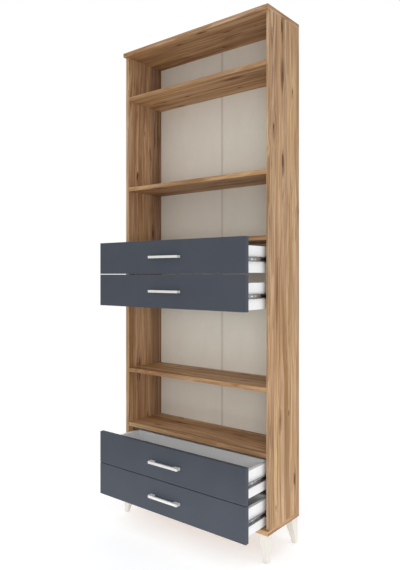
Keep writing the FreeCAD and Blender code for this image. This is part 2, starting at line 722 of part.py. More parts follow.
def drawer(name, pieces):
    """One drawer with its inner rails and levers, and the ball cages that run between its rails."""
    z = f"{name}_z"
    drawer_front(name, z)
    drawer_side(name, z, LEFT)
    drawer_side(name, z, RIGHT)
    drawer_back(name, z)
    drawer_bottom(name, z)
    drawer_handle(name, z)
    drawer_fasteners(name, z, pieces)
    rail_z = f"{z} + rail_lift"

    def pair(piece, y):
        return [(pieces[piece], x, y, rail_z, rotation) for x, rotation in CASE_WALLS]
    group(f"{name}_inner_rails", pair("inner_rail", "inner_rail_y"))
    group(f"{name}_release_levers", pair("release_lever", "inner_rail_y + lever_place"))
    cages = pair("ball_cage", "cage_y")
    balls = [(pieces["ball"], f"{OUTWARDS[side]} * (inner_width / 2 - ball_offset)",
              f"cage_y + cage_length * {station}", f"{rail_z} + {OUTWARDS[row]} * ball_z", AS_MADE)
             for side in (LEFT, RIGHT) for row in (BELOW, ABOVE) for station in BALL_STATIONS]
    group(name.replace("drawer", "ball_cages"), cages + balls)


# Fasteners and rails of the case

def shelf_joints(pieces):
    """The cams and bolts that hold the shelves between the side panels."""
    cams, bolts = [], []
    for name in SHELVES:
        below = name in SHELVES_WITH_CAMS_BELOW
        sunk = "cam_sink + cam_height"
        cam_z = f"{name}_z + {sunk}" if below else f"{name}_z + board - ({sunk})"
        bolt_z = f"{name}_z + board / 2"
        for side in (LEFT, RIGHT):
            inwards = AS_MADE if side == LEFT else HALF_TURN["Z"]
            upside_down = HALF_TURN["X"] if side == LEFT else HALF_TURN["Y"]
            facing = upside_down if below else inwards
            cam_x = f"{OUTWARDS[side]} * (inner_width / 2 - cam_setback)"
            for y in ("case_y + joint_inset", "case_y + joint_rear"):
                cams.append((pieces["shelf_cam"], cam_x, y, cam_z, facing))
                bolts.append((pieces["cam_bolt"], f"{OUTWARDS[side]} * inner_width / 2", y, bolt_z, inwards))
    group("cam_locks", cams)
    group("cam_bolts", bolts)


def case_screws(pieces):
    """The screws through the top and bottom panels, and the bolts of the legs."""
    copies = []
    for side in (LEFT, RIGHT):
        x = f"{OUTWARDS[side]} * (case_width - board) / 2"
        for y in ("case_y + joint_inset", "case_y + joint_rear"):
            copies.append((pieces["confirmat"], x, y, "top_z + board", X_DOWN))
            copies.append((pieces["confirmat"], x, y, "leg_height", X_UP))
    for x, y in leg_spots():
        copies.append((pieces["leg_stud"], x, y, "leg_height - leg_bolt_in_leg", AS_MADE))
    group("case_screws", copies)


def leg_stud():
    """The threaded stud between a leg and the bottom panel."""
    stud = doc.addObject("Part::Cylinder", "leg_stud")
    follow(stud, "Radius", "leg_bolt / 2")
    follow(stud, "Height", "leg_bolt_in_leg + leg_bolt_in_panel")
    return stud


# The whole part
CASE_WALLS = (("-inner_width / 2", AS_MADE), ("inner_width / 2", HALF_TURN["Y"]))
SOURCES = {
    "shelf_cam": cam_lock("shelf_cam", "board / 2"),
    "box_cam": cam_lock("box_cam", "box_board / 2"),
    "cam_bolt": cam_bolt(),
    "leg_stud": leg_stud(),
    "confirmat": screw(
        "confirmat",
        (("0", "confirmat_head"),
         ("confirmat_head_height", "confirmat_shank"),
         ("board", "confirmat_thread")),
        "confirmat_length", "confirmat_socket"),
    "box_screw": screw(
        "box_screw",
        (("0", "box_screw_head"), ("box_screw_head_height", "box_screw")),
        "box_screw_length", "small_socket"),
    "handle_screw": screw(
        "handle_screw",
        (("0", "handle_screw_head"), ("handle_screw_head_height", "handle_screw")),
        "handle_screw_head_height + front_board + handle_screw_grip", "small_socket"),
    "outer_rail": outer_rail(),
    "inner_rail": inner_rail(),
    "ball_cage": ball_cage(),
    "ball": ball(),
    "release_lever": release_lever(),
}

side_panel("left_side_panel", LEFT)
side_panel("right_side_panel", RIGHT)
end_panel("top_panel", "top_z", outer_face="board")
bottom_panel = end_panel("bottom_panel", "leg_height", outer_face="0")
stud_holes = [(f"case_width / 2 + {x}", f"{y} - case_y + panel_overhang") for x, y in leg_spots()]
stud_depth = "leg_bolt_in_panel + hole_fit"
drill(bottom_panel, "XY", "0", stud_holes, "stud_hole", stud_depth, along_normal=True)
for name in SHELVES:
    shelf(name)
back_panel("back_panel_left", LEFT)
back_panel("back_panel_right", RIGHT)
joint_strip()
for side in (LEFT, RIGHT):
    leg(f"leg_front_{side}", side, FRONT)
    leg(f"leg_rear_{side}", side, REAR)
shelf_joints(SOURCES)
case_screws(SOURCES)
group("outer_rails", [(SOURCES["outer_rail"], x, "outer_rail_y", f"{name}_z + rail_lift", rotation)
                      for name in DRAWERS for x, rotation in CASE_WALLS])
for name in DRAWERS:
    drawer(name, SOURCES)
doc.recompute()

# Every object must be sound, and every pocket must have removed material
LEAST_CUT = 0.1                    # cubic millimetres
for thing in doc.Objects:
    if "Invalid" in thing.State or "Error" in thing.State:
        raise RuntimeError(f"{thing.Label} is {thing.State}")
    if thing.TypeId == "PartDesign::Pocket":
        removed = thing.BaseFeature.Shape.Volume - thing.Shape.Volume
        if removed < LEAST_CUT:
            raise RuntimeError(f"{thing.Label} removes nothing")
for node in nodes:
    if node.Shape.isNull() or not node.Shape.isValid() or not node.Shape.Solids:
        raise RuntimeError(f"{node.Label} has no sound shape")

os.makedirs("parts", exist_ok=True)
for node in nodes:
    node.Shape.exportStep(f"parts/{node.Label}.step")
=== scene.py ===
import bmesh
import bpy
import math
from mathutils import Color, Matrix, Vector


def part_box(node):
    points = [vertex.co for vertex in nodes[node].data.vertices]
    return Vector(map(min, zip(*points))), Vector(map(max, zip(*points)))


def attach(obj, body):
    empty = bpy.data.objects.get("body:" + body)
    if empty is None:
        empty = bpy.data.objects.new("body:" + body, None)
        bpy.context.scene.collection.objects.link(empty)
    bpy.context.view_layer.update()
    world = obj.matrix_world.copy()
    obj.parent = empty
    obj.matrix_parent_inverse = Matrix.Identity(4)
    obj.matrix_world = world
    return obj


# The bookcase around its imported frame: metres, +Z up, -Y front.
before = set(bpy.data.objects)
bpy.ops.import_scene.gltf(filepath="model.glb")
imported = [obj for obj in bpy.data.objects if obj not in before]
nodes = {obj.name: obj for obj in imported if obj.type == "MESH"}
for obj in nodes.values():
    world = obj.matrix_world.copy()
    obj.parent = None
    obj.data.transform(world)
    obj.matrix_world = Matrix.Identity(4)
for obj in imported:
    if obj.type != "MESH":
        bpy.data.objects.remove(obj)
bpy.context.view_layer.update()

X, Y, Z = 0, 1, 2
LOW, HIGH = 0, 1
LEFT, RIGHT = -1, 1

DRAWERS = (1, 2, 3, 4)
LEVEL_OAK = ("top_panel", "bottom_panel", "shelf_1", "shelf_2", "shelf_3", "shelf_4", "shelf_5")
LEGS = ("leg_front_left", "leg_front_right", "leg_rear_left", "leg_rear_right")
BACKS = ("back_panel_left", "back_panel_right")


# Colours

# The share of a screen colour's light that a surface of that colour gives back
REFLECTED = 0.88
WHITE = (1.0, 1.0, 1.0, 1.0)

# Tints of the oak print, and the darker tint of a stripe along the rear of the left panel's inner face
GREYER = (0.97, 0.98, 1.085, 1.0)
YELLOWER = (1.03, 1.01, 0.92, 1.0)
REAR_STRIPE_TINT = (0.70, 0.71, 0.77, 1.0)


def tone(red, green, blue):
    """The colour of a surface, given as it looks on a screen in parts of 255."""
    light = (Color((red, green, blue)) / 255).from_srgb_to_scene_linear()
    return (*(REFLECTED * light), 1.0)


# Shader nodes

# The mix node's sockets have one name for every kind of data, so they go by number: two inputs and the output
MIX_SOCKETS = {"VECTOR": (4, 5, 1), "RGBA": (6, 7, 2)}
EDGE_SAMPLES = 4


class Shader:
    """One material, built node by node."""

    def __init__(self, name):
        self.material = bpy.data.materials.new(name)
        self.material.use_nodes = True
        self.tree = self.material.node_tree
        self.tree.nodes.clear()

    def add(self, kind, sockets=None, **settings):
        """A node; sockets maps an input's name or number to a value or to another node's output."""
        node = self.tree.nodes.new(kind)
        for name, value in settings.items():
            setattr(node, name, value)
        for key, value in (sockets or {}).items():
            if isinstance(value, bpy.types.NodeSocket):
                self.tree.links.new(value, node.inputs[key])
            else:
                node.inputs[key].default_value = value
        return node

    def parts(self, vector):
        """The X, Y and Z parts of a vector."""
        return self.add("ShaderNodeSeparateXYZ", {0: vector}).outputs

    def place(self, order="XYZ"):
        """The object's own coordinates in metres, with the axes in the order given."""
        coordinate = self.add("ShaderNodeTexCoord").outputs["Object"]
        if order == "XYZ":
            return coordinate
        parts = self.parts(coordinate)
        return self.add("ShaderNodeCombineXYZ", {k: parts[axis] for k, axis in enumerate(order)}).outputs[0]

    def facing(self):
        """The X, Y and Z parts of the direction that the surface faces."""
        return self.parts(self.add("ShaderNodeTexCoord").outputs["Normal"])

    def vectors(self, operation, sockets):
        """The outputs of a sum with vectors."""
        return self.add("ShaderNodeVectorMath", sockets, operation=operation).outputs

    def stretch(self, vector, factors):
        """The vector with each of its parts times a factor."""
        return self.vectors("MULTIPLY", {0: vector, 1: factors})[0]

    def shift(self, vector, amount, direction):
        """The vector moved by a number times a direction."""
        push = self.vectors("SCALE", {0: direction, "Scale": amount})[0]
        return self.vectors("ADD", {0: vector, 1: push})[0]

    def noise(self, vector, turns, detail=2, roughness=0.5):
        """A noise with so many turns a metre along each part of the vector."""
        stretched = self.stretch(vector, turns)
        sockets = {"Vector": stretched, "Scale": 1.0, "Detail": detail, "Roughness": roughness}
        return self.add("ShaderNodeTexNoise", sockets).outputs[0]

    def cells(self, vector):
        """Points scattered over the vector's first two parts: the nearest one's place and chances."""
        sockets = {"Vector": vector, "Scale": 1.0}
        return self.add("ShaderNodeTexVoronoi", sockets, voronoi_dimensions="2D").outputs

    def band(self, value, low, high, out_low=0.0, out_high=1.0):
        """A smooth step from one output to the other while the value goes from low to high."""
        sockets = {"Value": value, "From Min": low, "From Max": high, "To Min": out_low, "To Max": out_high}
        return self.add("ShaderNodeMapRange", sockets, interpolation_type="SMOOTHSTEP").outputs["Result"]

    def maths(self, operation, first, second=0.0):
        """A sum with one or two numbers."""
        return self.add("ShaderNodeMath", {0: first, 1: second}, operation=operation).outputs[0]

    def times(self, first, second):
        """The product of two numbers."""
        return self.maths("MULTIPLY", first, second)

    def mix(self, factor, first, second, blend="MIX", data="RGBA"):
        """The first colour or vector at factor 0, and the second, blended with it, at factor 1."""
        start, end, result = MIX_SOCKETS[data]
        sockets = {0: factor, start: first, end: second}
        return self.add("ShaderNodeMix", sockets, data_type=data, blend_type=blend).outputs[result]

    def streaks(self, colour, vector, along, across, cut, strength, paint, detail=2, roughness=0.5):
        """Paint over the colour where a noise, with so many turns a metre each way, passes the cut."""
        pattern = self.noise(vector, (along, across, across), detail, roughness)
        return self.mix(self.band(pattern, *cut, 0.0, strength), colour, paint)

    def ramp(self, value, *stops):
        """A colour for each value: stops are (position, colour)."""
        node = self.add("ShaderNodeValToRGB", {0: value})
        elements = node.color_ramp.elements
        while len(elements) < len(stops):
            elements.new(0.5)
        for element, (position, colour) in zip(elements, stops):
            element.position = position
            element.color = colour
        return node.outputs[0]

    def clouds(self, pattern, dark, light):
        """A soft change between two colours that are close to each other."""
        return self.ramp(pattern, (0.3, dark), (0.7, light))

    def gloss(self, pattern, smooth, rough):
        """A roughness that changes with a pattern."""
        return self.band(pattern, 0.3, 0.7, smooth, rough)

    def edges(self, radius):
        """1 along the piece's edges, 0 on its flats."""
        rounded = self.add("ShaderNodeBevel", {"Radius": radius}, samples=EDGE_SAMPLES).outputs[0]
        flat = self.add("ShaderNodeNewGeometry").outputs["Normal"]
        same = self.vectors("DOT_PRODUCT", {0: rounded, 1: flat})["Value"]
        return self.band(same, low=0.98, high=0.80)

    def bump(self, height, depth, strength):
        """A surface direction tilted by a relief that is so many metres deep."""
        sockets = {"Height": height, "Distance": depth, "Strength": strength}
        return self.add("ShaderNodeBump", sockets).outputs[0]

    def surface(self, colour, roughness, others):
        """The shader of a surface: its colour and roughness, and a dictionary of its other sockets."""
        sockets = {"Base Color": colour, "Roughness": roughness}
        return self.add("ShaderNodeBsdfPrincipled", sockets | others).outputs[0]

    def finish(self, shader):
        """The material, showing this shader."""
        self.add("ShaderNodeOutputMaterial", {"Surface": shader})
        return self.material


# Materials

# Knots of the oak print: how far the pattern moves on from board to board, the chance above which a cell has a
# knot, the smallest and largest size, how slim a knot is, and how much of the grain goes round it
BOARD_SHIFT = (17.0, 5.0, 0.0)
KNOT_CHANCE = (0.42, 0.44)
KNOT_SIZES = (0.40, 1.25)
KNOT_SLIMNESS = 1.3
KNOT_PARTING = 0.8


def oak_knots(s, place, along, across):
    """Knots with so many cells a metre each way: the grain that parts round them, and their masks."""
    board = s.add("ShaderNodeObjectInfo").outputs["Random"]
    spot = s.shift(s.stretch(place, (along, across, across)), board, BOARD_SHIFT)
    nearest = s.cells(spot)
    chance = s.parts(nearest["Color"])
    picked = s.band(chance[X], *KNOT_CHANCE)
    size = s.band(chance[Y], 0.0, 1.0, *KNOT_SIZES)
    offset = s.vectors("SUBTRACT", {0: spot, 1: nearest["Position"]})[0]
    reach = s.vectors("LENGTH", {0: s.stretch(offset, (1.0, KNOT_SLIMNESS, 0.0))})["Value"]
    way = s.maths("DIVIDE", reach, size)
    swell = s.times(s.band(way, 0.5, 0.0), picked)
    flow = s.shift(place, swell, s.stretch(offset, (0.0, -KNOT_PARTING / across, 0.0)))
    ragged = s.band(s.noise(flow, (18, 210, 210), detail=3), 0.35, 0.65, -0.05, 0.05)
    core = s.times(s.band(s.maths("ADD", way, ragged), 0.075, 0.050), picked)
    halo = s.times(s.band(way, 0.18, 0.04, 0.0, 0.50), picked)
    return flow, swell, core, halo


def oak_grain(s, flow, stripes):
    """The colour of clear oak: tone bands, growth rings, and streaks from broad ones down to pores."""
    broad = s.noise(flow, (0.6, 15, 15), roughness=0.6)
    colour = s.ramp(broad, (0.34, tone(167, 129, 92)), (0.44, tone(196, 160, 121)),
                    (0.54, tone(213, 182, 144)), (0.66, tone(186, 150, 109)))
    rings = 18.0
    growth = s.noise(flow, (0.5, 8.5, 8.5), roughness=0.45)
    ring = s.maths("FRACT", s.times(growth, rings))
    late_wood = s.times(s.band(ring, 0.15, 0.92), s.band(ring, 1.0, 0.93))
    colour = s.mix(s.times(late_wood, 0.34), colour, tone(156, 114, 72))
    colour = s.streaks(colour, flow, along=0.8, across=12, cut=(0.54, 0.68), strength=0.50,
                       paint=tone(142, 106, 70), detail=1)
    colour = s.streaks(colour, flow, along=1.6, across=62, cut=(0.50, 0.62), strength=stripes,
                       paint=tone(140, 102, 66), detail=3, roughness=0.6)
    colour = s.streaks(colour, flow, along=1.3, across=48, cut=(0.54, 0.66), strength=stripes,
                       paint=tone(217, 190, 152))
    colour = s.streaks(colour, flow, along=2.2, across=125, cut=(0.52, 0.64), strength=0.48,
                       paint=tone(146, 104, 64))
    colour = s.streaks(colour, flow, along=3.0, across=260, cut=(0.48, 0.72), strength=0.42,
                       paint=tone(134, 96, 60), detail=3, roughness=0.6)
    colour = s.streaks(colour, flow, along=15, across=190, cut=(0.66, 0.74), strength=0.12,
                       paint=tone(98, 67, 45))
    return s.streaks(colour, flow, along=30, across=1300, cut=(0.56, 0.72), strength=0.28,
                     paint=tone(112, 79, 53))


def oak(name, order, edge_tint, face_tint, sway, stripes, cracks, knots, rear_stripe=None):
    """Printed oak along the order's first axis: grain, cracks, splits and knots, and banded board ends.

    Sway is how far the grain wanders, stripes and cracks are strengths, and knots are the knot cells a metre
    along and across. Rear stripe is where a darker stripe along the rear of the +X face begins and where it is
    full.
    """
    s = Shader(name)
    length, width, thickness = order
    normal = s.facing()
    board_end = s.band(s.maths("ABSOLUTE", normal[length]), 0.4, 0.7)
    broad_face = s.band(s.maths("ABSOLUTE", normal[thickness]), 0.4, 0.7)
    along = s.mix(board_end, s.place(order), s.place(width + length + thickness), data="VECTOR")
    wander = s.noise(along, (2.0, 6, 6))
    warped = s.shift(along, s.band(wander, 0.2, 0.8, -0.5, 0.5), (0.0, sway, 0.012))
    flow, swell, core, halo = oak_knots(s, warped, *knots)

    colour = oak_grain(s, flow, stripes)
    patches = s.band(s.noise(flow, (2.6, 9, 9)), 0.50, 0.66, 0.0, cracks)
    cracked = s.band(s.noise(flow, (6.0, 75, 75), detail=3, roughness=0.6), 0.52, 0.64)
    colour = s.mix(s.times(cracked, patches), colour, tone(106, 70, 40))
    splits = s.band(s.noise(flow, (3.0, 115, 115), detail=3, roughness=0.6), 0.54, 0.60, 0.0, 0.75)
    split = s.times(splits, s.band(swell, 0.35, 0.75))
    colour = s.mix(s.times(halo, broad_face), colour, tone(126, 86, 50))
    dark = s.times(s.maths("MAXIMUM", split, core), broad_face)
    colour = s.mix(s.times(dark, 0.82), colour, tone(88, 50, 20))

    colour = s.mix(1.0, colour, s.mix(broad_face, edge_tint, face_tint), blend="MULTIPLY")
    # A stripe along the rear of the +X face, next to the back panel, is made darker
    if rear_stripe:
        inner_face = s.band(normal[thickness], 0.4, 0.7)
        stripe = s.times(s.band(s.parts(flow)[Y], *rear_stripe), inner_face)
        colour = s.mix(stripe, colour, REAR_STRIPE_TINT, blend="MULTIPLY")
    hue = s.band(s.noise(flow, (1.1, 34, 34), detail=3, roughness=0.6), 0.38, 0.62)
    colour = s.mix(1.0, colour, s.mix(hue, GREYER, YELLOWER), blend="MULTIPLY")
    polish = s.noise(flow, (1.6, 62, 62), detail=3, roughness=0.6)
    wear = s.times(s.edges(0.0012), s.band(polish, 0.35, 0.65, 0.05, 0.30))
    colour = s.mix(wear, colour, tone(205, 172, 134))

    pores = s.noise(flow, (30, 1300, 1300))
    relief = s.maths("SUBTRACT", 0.0, s.maths("ADD", pores, dark))
    others = {"Specular IOR Level": 0.2, "Normal": s.bump(relief, depth=0.00025, strength=0.25)}
    return s.finish(s.surface(colour, s.gloss(polish, 0.46, 0.60), others))


def grey_board():
    """Matt grey melamine: fine pearl texture, faint cloudiness and slightly paler edges."""
    s = Shader("front_grey")
    place = s.place()
    grain = s.noise(place, (260, 900, 900))
    colour = s.clouds(s.noise(place, (6, 6, 6), detail=3), tone(69, 74, 84), tone(73, 78, 88))
    colour = s.mix(s.band(grain, 0.4, 0.75, 0.0, 0.16), colour, tone(62, 66, 75))
    colour = s.mix(s.times(s.edges(0.001), 0.35), colour, tone(98, 102, 110))
    others = {"Specular IOR Level": 0.25, "Normal": s.bump(grain, depth=0.00012, strength=0.25)}
    return s.finish(s.surface(colour, s.gloss(grain, 0.52, 0.64), others))


def white_board(name, dark, light):
    """White melamine of the drawer boxes, faintly cloudy, with dull edges."""
    s = Shader(name)
    place = s.place()
    grain = s.noise(place, (700, 700, 700))
    colour = s.clouds(s.noise(place, (9, 9, 9), detail=3), dark, light)
    colour = s.mix(s.times(s.edges(0.0008), 0.25), colour, tone(206, 203, 198))
    others = {"Specular IOR Level": 0.4, "Normal": s.bump(grain, depth=0.00008, strength=0.2)}
    return s.finish(s.surface(colour, s.gloss(grain, 0.40, 0.52), others))


def back_board():
    """Hardboard with a beige print on its front face; its rear face and edges are bare brown fibre."""
    s = Shader("back_beige")
    place = s.place()
    mottle = s.noise(place, (14, 14, 9), detail=4, roughness=0.6)
    fibre = s.noise(place, (420, 420, 160), detail=3)
    flecks = s.noise(place, (900, 900, 250))
    bare = s.clouds(mottle, tone(141, 107, 77), tone(153, 118, 86))
    bare = s.mix(s.band(fibre, 0.45, 0.75, 0.0, 0.45), bare, tone(116, 84, 58))
    bare = s.mix(s.band(flecks, 0.62, 0.72, 0.0, 0.50), bare, tone(186, 155, 119))
    colour = s.clouds(mottle, tone(229, 223, 211), tone(233, 228, 216))
    colour = s.mix(s.band(fibre, 0.5, 0.75, 0.0, 0.14), colour, tone(200, 190, 176))
    colour = s.mix(s.band(s.facing()[Y], -0.7, -0.5), colour, bare)
    others = {"Specular IOR Level": 0.25, "Normal": s.bump(fibre, depth=0.00015, strength=0.25)}
    return s.finish(s.surface(colour, s.gloss(fibre, 0.62, 0.78), others))


def painted(name, dark, light, smooth, rough):
    """Sprayed paint: faint orange peel, and rubbed edges."""
    s = Shader(name)
    place = s.place()
    cloud = s.noise(place, (30, 30, 30), detail=3)
    peel = s.noise(place, (900, 900, 900), detail=1)
    rubbed = s.times(s.edges(0.0008), s.band(cloud, 0.4, 0.7, 0.05, 0.3))
    colour = s.mix(rubbed, s.clouds(cloud, dark, light), tone(205, 198, 184))
    others = {"Specular IOR Level": 0.5, "Normal": s.bump(peel, depth=0.00005, strength=0.2)}
    return s.finish(s.surface(colour, s.gloss(cloud, smooth, rough), others))


def plated_steel(name, dark, light, smooth, rough):
    """Zinc-plated steel, with rolling marks along Y, dull patches, and a painted highlight along its edges."""
    s = Shader(name)
    place = s.place()
    rolled = s.noise(place, (1500, 25, 1500))
    dull = s.noise(place, (60, 35, 60), detail=3)
    colour = s.mix(s.band(dull, 0.35, 0.65), dark, light)
    colour = s.mix(s.band(rolled, 0.5, 0.75, 0.0, 0.25), colour, tone(96, 97, 99))
    # Painted highlight: the edges are lightened towards near white
    colour = s.mix(s.times(s.edges(0.0004), 0.5), colour, tone(225, 226, 228))
    others = {"Metallic": 0.9, "Normal": s.bump(rolled, depth=0.00003, strength=0.2)}
    return s.finish(s.surface(colour, s.gloss(dull, smooth, rough), others))


def plastic(name, dark, light):
    """Moulded plastic with a fine spark-eroded texture."""
    s = Shader(name)
    place = s.place()
    grain = s.noise(place, (1600, 1600, 1600))
    colour = s.clouds(s.noise(place, (40, 40, 40)), dark, light)
    others = {"Specular IOR Level": 0.4, "Normal": s.bump(grain, depth=0.00006, strength=0.25)}
    return s.finish(s.surface(colour, s.gloss(grain, 0.42, 0.58), others))


UPRIGHT = {"order": "ZYX", "edge_tint": (0.98, 0.955, 0.93, 1.0), "sway": 0.017, "stripes": 0.50,
           "cracks": 0.68, "knots": (3.6, 10.5)}

MATERIALS = {
    # The left panel's inner face is made darker in a stripe along its rear
    "oak_left": oak("oak_left", face_tint=(1.01, 0.95, 0.955, 1.0), rear_stripe=(0.128, 0.142), **UPRIGHT),
    "oak_right": oak("oak_right", face_tint=(0.98, 0.955, 0.93, 1.0), **UPRIGHT),
    "oak_level": oak("oak_level", order="XYZ", edge_tint=(1.00, 0.95, 0.91, 1.0),
                     face_tint=(1.04, 0.945, 0.84, 1.0), sway=0.030, stripes=0.55, cracks=0.75,
                     knots=(4.6, 13.0)),
    "front": grey_board(),
    "box": white_board("box_white", tone(244, 245, 246), tone(247, 248, 249)),
    "box_floor": white_board("box_floor_white", tone(242, 241, 240), tone(246, 245, 244)),
    "back": back_board(),
    "strip": plastic("strip_beige", tone(211, 203, 191), tone(216, 208, 196)),
    "leg": painted("leg_cream", tone(226, 222, 212), tone(231, 227, 218), smooth=0.36, rough=0.46),
    "handle": painted("handle_cream", tone(227, 225, 220), tone(230, 229, 225), smooth=0.24, rough=0.34),
    "rail": plated_steel("rail_zinc", tone(162, 163, 166), tone(180, 181, 183), smooth=0.20, rough=0.32),
    "ball": plated_steel("ball_steel", tone(192, 193, 196), tone(205, 206, 208), smooth=0.12, rough=0.24),
    "screw": plated_steel("screw_zinc", tone(172, 173, 176), tone(190, 191, 194), smooth=0.26, rough=0.40),
    "cam": plated_steel("cam_zinc", tone(150, 150, 153), tone(168, 168, 170), smooth=0.38, rough=0.52),
    "lever": plastic("lever_black", tone(27, 27, 28), tone(34, 34, 35)),
}


# Finish of the CAD nodes

BOARD_ROUNDING = 0.0006
BOX_ROUNDING = 0.0005
HANDLE_ROUNDING = 0.0009
LEVER_ROUNDING = 0.0004
ROUNDING_STEPS = 2
SHARPEST_UNROUNDED = math.radians(50)


def dress(name, material, rounding=0.0):
    """Gives a CAD node its material, and a small rounding of its edges where it has one."""
    node = nodes[name]
    node.data.materials.clear()
    node.data.materials.append(MATERIALS[material])
    if rounding:
        bevel = node.modifiers.new("edge_rounding", "BEVEL")
        bevel.width = rounding
        bevel.segments = ROUNDING_STEPS
        bevel.limit_method = "ANGLE"
        bevel.angle_limit = SHARPEST_UNROUNDED
        bevel.use_clamp_overlap = False
        bevel.harden_normals = True


dress("left_side_panel", "oak_left", BOARD_ROUNDING)
dress("right_side_panel", "oak_right", BOARD_ROUNDING)
for name in LEVEL_OAK:
    dress(name, "oak_level", BOARD_ROUNDING)
for name in BACKS:
    dress(name, "back")
for name in LEGS:
    dress(name, "leg")
dress("back_joint_strip", "strip")
dress("cam_locks", "cam")
dress("cam_bolts", "screw")
dress("case_screws", "screw")
dress("outer_rails", "rail")
for number in DRAWERS:
    drawer = f"drawer_{number}"
    dress(f"{drawer}_front", "front", BOARD_ROUNDING)
    for piece in ("left_side", "right_side", "back"):
        dress(f"{drawer}_{piece}", "box", BOX_ROUNDING)
    dress(f"{drawer}_bottom", "box_floor")
    dress(f"{drawer}_handle", "handle", HANDLE_ROUNDING)
    dress(f"{drawer}_fasteners", "screw")
    dress(f"{drawer}_inner_rails", "rail")
    dress(f"{drawer}_release_levers", "lever", LEVER_ROUNDING)
    dress(f"ball_cages_{number}", "ball")


# Small fasteners: nails in the back, and screws in the slide rails

# Flat sides of a turned form
SIDES = 20

# Nails: a row along each side panel, and a row along each half of every level board
NAIL_HEAD_RADIUS = 0.0025
NAIL_HEAD_HEIGHT = 0.0008
NAIL_SHANK_RADIUS = 0.0007
NAIL_LENGTH = 0.018
NAIL_POINT = 0.0025
SIDE_NAILS = 15
BOARD_NAILS = 4
NAILS_FROM_MIDDLE = 0.03

# Screws: the rails' screws lie so far behind the front ends of the rails
SCREW_SHANK_RADIUS = 0.00155
SCREW_NECK = 0.0006
RECESS_DEPTH = 0.0009
RAIL_WALL = 0.001
RAIL_SCREWS = (0.034, 0.166)


def turned(mesh, profile):
    """Adds a turned form about Z to the mesh; the profile holds (radius, height) pairs from top to bottom."""
    rings = []
    for radius, height in profile:
        count = SIDES if radius else 1
        turns = [2 * math.pi * k / SIDES for k in range(count)]
        rings.append([mesh.verts.new((radius * math.cos(a), radius * math.sin(a), height)) for a in turns])
    for upper, lower in zip(rings, rings[1:]):
        for k in range(SIDES):
            corners = [upper[k % len(upper)], lower[k % len(lower)],
                       lower[(k + 1) % len(lower)], upper[(k + 1) % len(upper)]]
            mesh.faces.new(list(dict.fromkeys(corners)))
    return rings


def nail():
    """A panel nail with a low domed head, its seat at height 0."""
    mesh = bmesh.new()
    turned(mesh, [(0, NAIL_HEAD_HEIGHT), (0.48 * NAIL_HEAD_RADIUS, 0.9 * NAIL_HEAD_HEIGHT),
                  (0.84 * NAIL_HEAD_RADIUS, 0.5 * NAIL_HEAD_HEIGHT), (NAIL_HEAD_RADIUS, 0),
                  (NAIL_SHANK_RADIUS, 0), (NAIL_SHANK_RADIUS, NAIL_POINT - NAIL_LENGTH), (0, -NAIL_LENGTH)])
    return mesh


def cross_screw(head_radius, head_height, seat_radius, length):
    """A wood screw with a cross recess; the head's underside meets its seat at height 0."""
    mesh = bmesh.new()
    profile = [(0.8 * head_radius, head_height), (head_radius, 0.6 * head_height), (seat_radius, 0),
               (SCREW_SHANK_RADIUS, -SCREW_NECK), (SCREW_SHANK_RADIUS, -0.7 * length), (0, -length)]
    rings = turned(mesh, profile)
    slot, reach = 0.16 * head_radius, 0.55 * head_radius
    quarter = [(reach, -slot), (reach, slot), (slot, slot)]
    turns = [Matrix.Rotation(math.radians(90 * turn), 2) for turn in range(4)]
    cross = [turn @ Vector(point) for turn in turns for point in quarter]
    recess = head_height - RECESS_DEPTH
    rim = [mesh.verts.new((point.x, point.y, head_height)) for point in cross]
    floor = [mesh.verts.new((0.8 * point.x, 0.8 * point.y, recess)) for point in cross]
    edges = [mesh.edges.get((rings[0][k - 1], rings[0][k])) for k in range(SIDES)]
    edges += [mesh.edges.new((rim[k - 1], rim[k])) for k in range(len(rim))]
    bmesh.ops.triangle_fill(mesh, use_beauty=True, edges=edges, normal=(0, 0, 1))
    for k in range(len(rim)):
        mesh.faces.new((rim[k - 1], rim[k], floor[k], floor[k - 1]))
    mesh.faces.new(floor)
    return mesh


def set_out(name, form, places, body):
    """One piece made of copies of a fastener; each place is a point and the way that the head faces."""
    whole = bmesh.new()
    single = bpy.data.meshes.new(name)
    bmesh.ops.recalc_face_normals(form, faces=form.faces)
    form.to_mesh(single)
    form.free()
    for point, way in places:
        copy = single.copy()
        copy.transform(Matrix.Translation(point) @ Vector(way).to_track_quat("Z", "Y").to_matrix().to_4x4())
        whole.from_mesh(copy)
        bpy.data.meshes.remove(copy)
    whole.to_mesh(single)
    whole.free()
    single.materials.append(MATERIALS["screw"])
    piece = bpy.data.objects.new(name, single)
    bpy.context.scene.collection.objects.link(piece)
    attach(piece, body)


def evenly(low, high, count):
    """Numbers at even steps from low to high."""
    return [low + (high - low) * k / (count - 1) for k in range(count)]


def middle(name, axis):
    """The middle of a node along an axis."""
    low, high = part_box(name)
    return (low[axis] + high[axis]) / 2


def add_back_nails():
    """Nails along the outer edges of the back and along every board behind it."""
    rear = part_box("back_panel_left")[HIGH][Y]
    side, foot, head = middle("right_side_panel", X), middle("bottom_panel", Z), middle("top_panel", Z)
    heights = evenly(foot, head, SIDE_NAILS)
    steps = evenly(NAILS_FROM_MIDDLE, side, BOARD_NAILS + 1)[:-1]
    places = [(sign * side, rear, height) for sign in (LEFT, RIGHT) for height in heights]
    for board in LEVEL_OAK:
        places += [(sign * step, rear, middle(board, Z)) for sign in (LEFT, RIGHT) for step in steps]
    set_out("back_nails", nail(), [(place, (0, 1, 0)) for place in places], "case")


